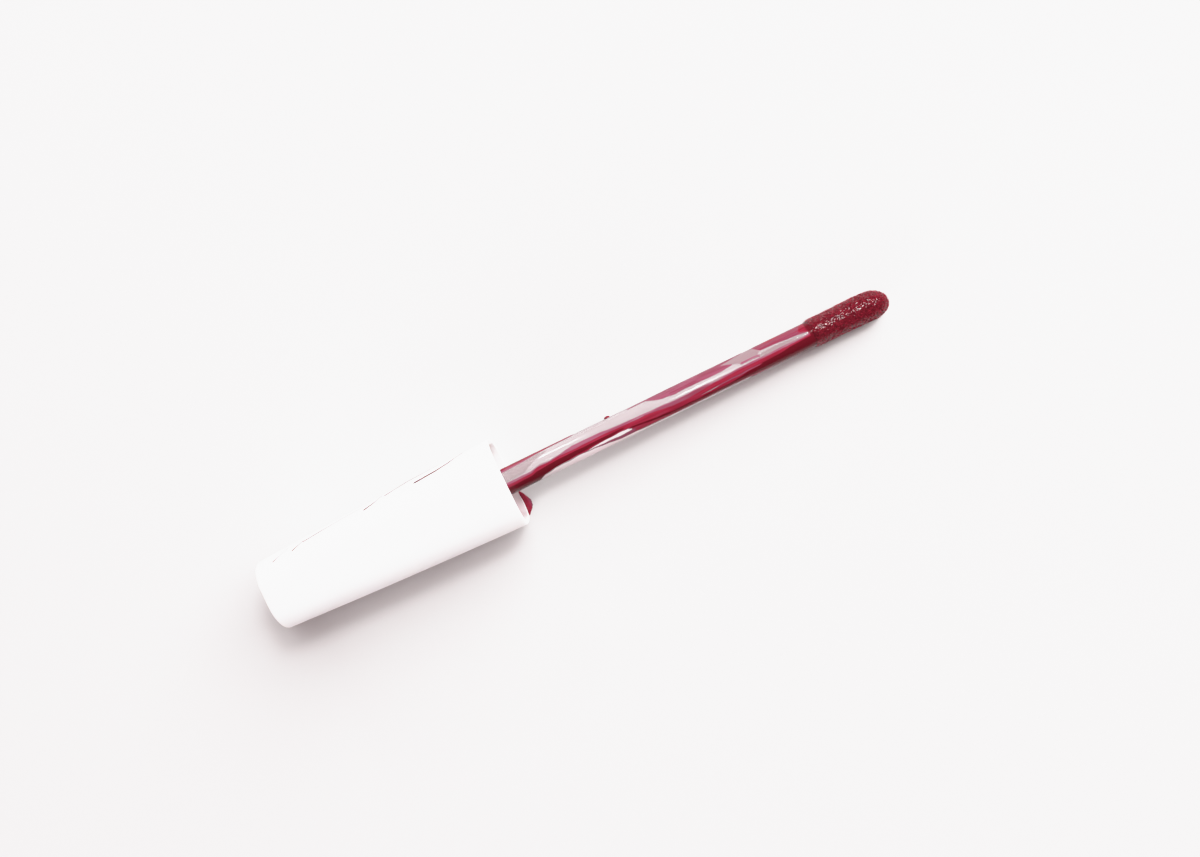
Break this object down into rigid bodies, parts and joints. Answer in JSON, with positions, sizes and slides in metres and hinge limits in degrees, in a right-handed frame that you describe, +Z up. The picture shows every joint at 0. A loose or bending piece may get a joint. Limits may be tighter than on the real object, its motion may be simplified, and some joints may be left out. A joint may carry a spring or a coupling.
{
  "type": "lip gloss applicator cap",
  "caption": "Tapered white over-cap, square with large round corners, holding a threaded liner and a clear wand that ends in a flocked tip wet with dark red gloss.",
  "frame": {"origin": "on the table plane, under the middle of the overall box of the cap as it lies on the lower edge of its mouth and the side of its tip", "axes": "+X from the closed end of the cap towards the tip of the wand, level with the table; +Z up; the wand's own axis lies in the XZ plane and slopes 4.48 degrees down towards its tip"},
  "size_m": [0.1144, 0.0154, 0.017],
  "materials": {
    "cap_white": "satin",
    "liner_natural": "satin",
    "seal_foam": "matte",
    "clear_plastic": "polished",
    "core_plastic": "matte",
    "wet_flock": "satin",
    "lip_gloss": "polished"
  },
  "bodies": {
    "root": {"cap_shell": "cap_white", "inner_cap": "liner_natural", "seal_washer": "seal_foam", "stem": "clear_plastic", "tip_core": "core_plastic", "flock_sleeve": "wet_flock", "gloss_film": "lip_gloss"}
  },
  "joints": []
}
